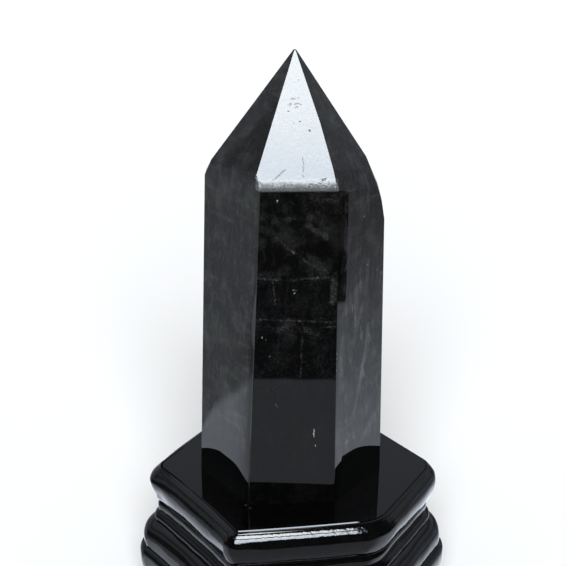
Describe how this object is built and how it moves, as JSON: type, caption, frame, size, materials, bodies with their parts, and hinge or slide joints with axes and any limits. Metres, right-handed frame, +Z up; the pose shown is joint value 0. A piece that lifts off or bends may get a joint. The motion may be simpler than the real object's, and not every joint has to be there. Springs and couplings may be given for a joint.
{
  "type": "morion quartz point on a stand",
  "caption": "Polished six-sided point of black morion quartz standing upright on a hexagonal black lacquered wooden display stand with stepped mouldings.",
  "frame": {"origin": "under the middle of the stand's outline, on the surface it stands on", "axes": "+Z up along the crystal, -Y towards the side of the stand that is shown first, +X to its right"},
  "size_m": [0.1016, 0.095, 0.1838],
  "materials": {
    "morion_quartz": "polished, almost opaque smoky black, faint brown veils and pale flecks inside",
    "black_lacquer": "high gloss black lacquer over hand-carved wood"
  },
  "bodies": {
    "root": {"quartz_point": "morion_quartz", "wooden_stand": "black_lacquer"}
  },
  "joints": []
}
